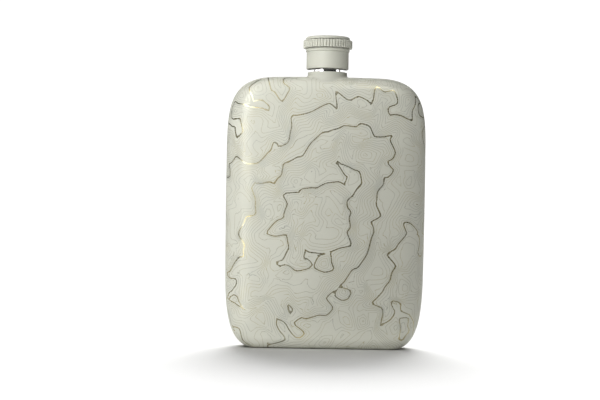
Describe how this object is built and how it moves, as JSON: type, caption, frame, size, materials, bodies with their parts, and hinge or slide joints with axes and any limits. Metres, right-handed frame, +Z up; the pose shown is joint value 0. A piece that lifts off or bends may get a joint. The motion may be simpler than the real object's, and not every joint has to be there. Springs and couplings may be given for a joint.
{
  "type": "hip flask",
  "caption": "Flat steel hip flask with softly rounded corners, a short welded neck and a screw cap with a ribbed grip ring; it stands on its flat base.",
  "frame": {"origin": "middle of the flat base that the flask stands on, on the neck's axis", "axes": "+Z up along the neck's axis, +X across the width to the right as seen from the front, -Y out of the front face"},
  "size_m": [0.0888, 0.022, 0.1384],
  "materials": {
    "shell_paint": "matte stone-coloured powder coat on stainless steel, with fine laser-engraved contour lines that show the warm bare metal",
    "cap_paint": "matte stone-coloured powder coat",
    "neck_steel": "polished stainless steel",
    "insert_plastic": "moulded polypropylene, natural",
    "gasket_rubber": "soft silicone"
  },
  "bodies": {
    "flask": {"front_shell": "shell_paint", "back_shell": "shell_paint", "neck_collar": "shell_paint", "threaded_neck": "neck_steel"},
    "cap_seal": {"cap_gasket": "gasket_rubber"},
    "cap": {"cap_shell": "cap_paint", "cap_grip_ring": "cap_paint", "cap_top_disc": "cap_paint", "cap_thread_insert": "insert_plastic"}
  },
  "joints": [
    {"name": "cap_rise", "type": "slide", "parent": "flask", "child": "cap_seal", "axis": [0, 0, 1], "range_m": [0, 0.01601]},
    {"name": "cap_turn", "type": "hinge", "parent": "cap_seal", "child": "cap", "pos_m": [0, 0, 0.124], "axis": [0, 0, 1], "range_deg": [0, 2880]}
  ],
  "couplings": [
    {"joint": "cap_rise", "follows": "cap_turn", "m_per_rad": 0.00031831}
  ]
}
